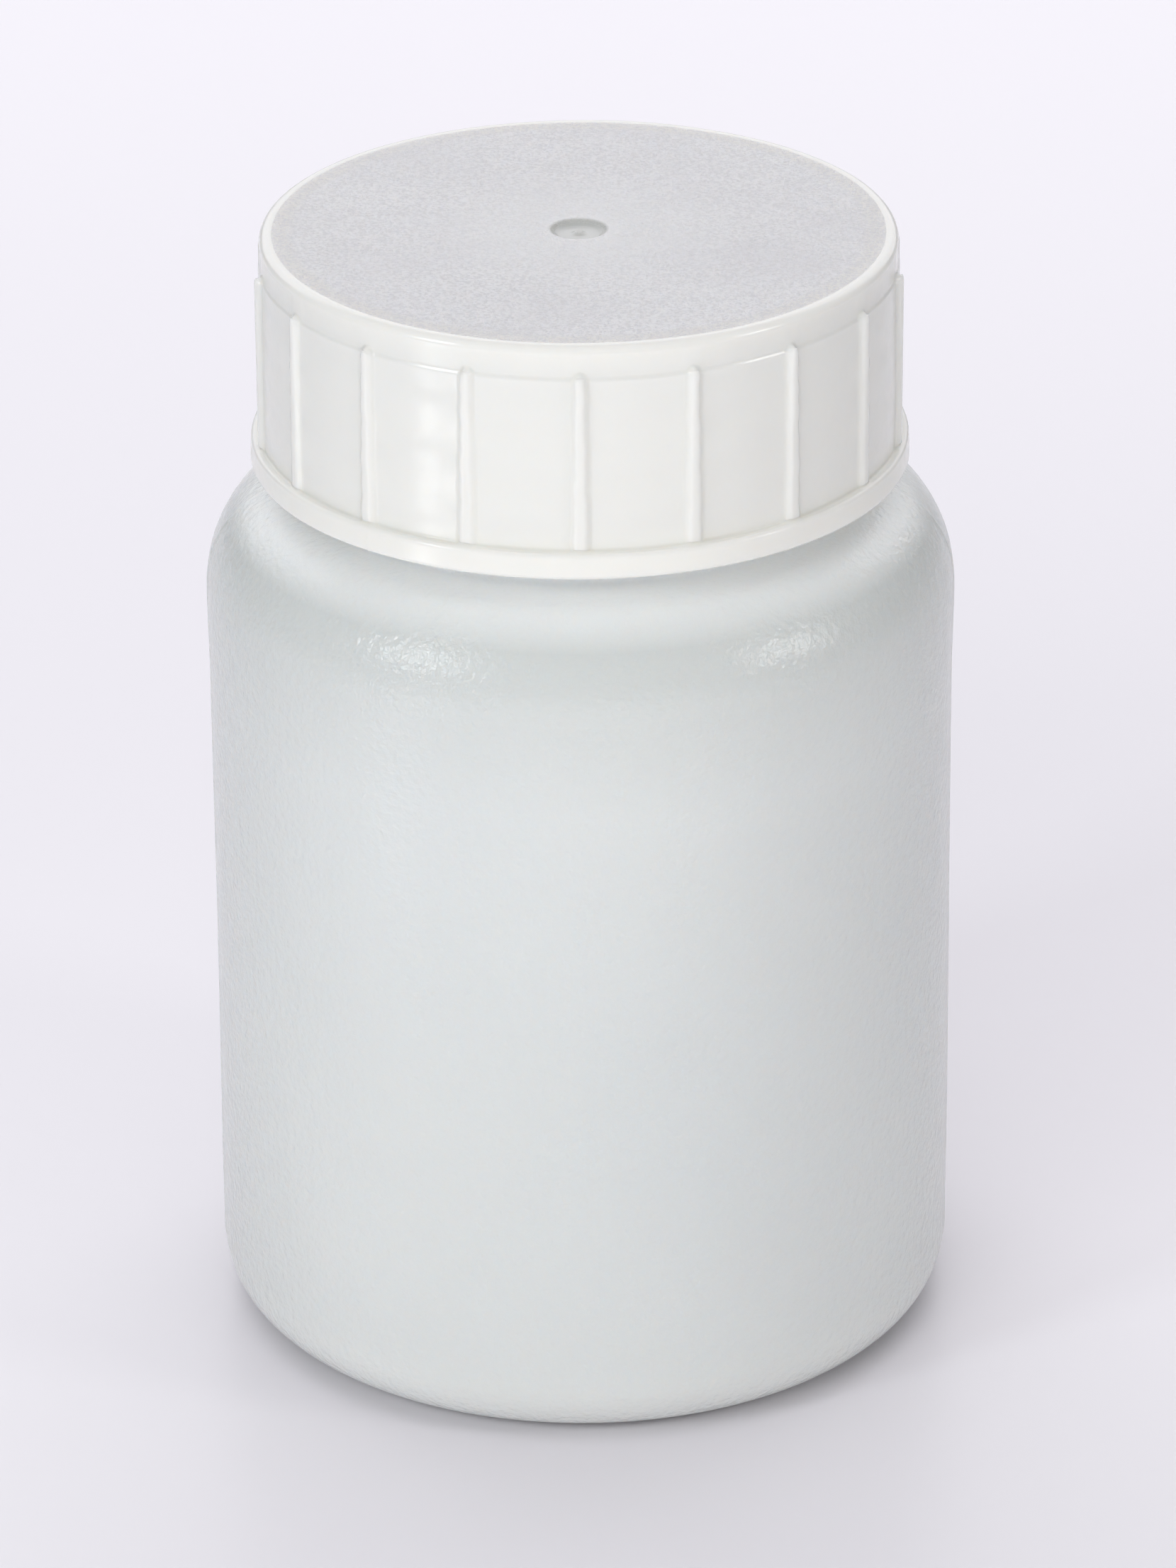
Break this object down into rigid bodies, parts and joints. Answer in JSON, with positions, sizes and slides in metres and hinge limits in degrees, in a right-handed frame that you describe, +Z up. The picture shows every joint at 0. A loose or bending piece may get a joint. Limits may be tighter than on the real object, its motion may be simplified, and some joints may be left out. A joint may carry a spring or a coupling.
{
  "type": "reagent bottle",
  "caption": "Round wide-mouth plastic reagent bottle with a rounded shoulder, a threaded neck and a ribbed screw cap with a sealing liner.",
  "frame": {"origin": "middle of the base, on the plane the bottle stands on", "axes": "+Z up along the bottle's axis; -Y faces the front"},
  "size_m": [0.068, 0.068, 0.1056],
  "materials": {
    "natural_polyethylene": "translucent natural polyethylene, waxy satin skin with fine vertical die lines",
    "white_polypropylene": "white moulded polypropylene, glossy skirt and fine-grained top",
    "soft_polyethylene": "white soft polyethylene, matt, with the rim's faint printed ring"
  },
  "bodies": {
    "bottle": {"bottle_body": "natural_polyethylene"},
    "liner": {"cap_liner": "soft_polyethylene"},
    "cap": {"screw_cap": "white_polypropylene"}
  },
  "joints": [
    {"name": "cap_rise", "type": "slide", "parent": "bottle", "child": "liner", "axis": [0, 0, 1], "range_m": [0, 0.0192]},
    {"name": "cap_turn", "type": "hinge", "parent": "liner", "child": "cap", "pos_m": [0, 0, 0.1], "axis": [0, 0, 1], "range_deg": [0, 1441]}
  ],
  "couplings": [
    {"joint": "cap_turn", "follows": "cap_rise", "rad_per_m": 1309}
  ]
}
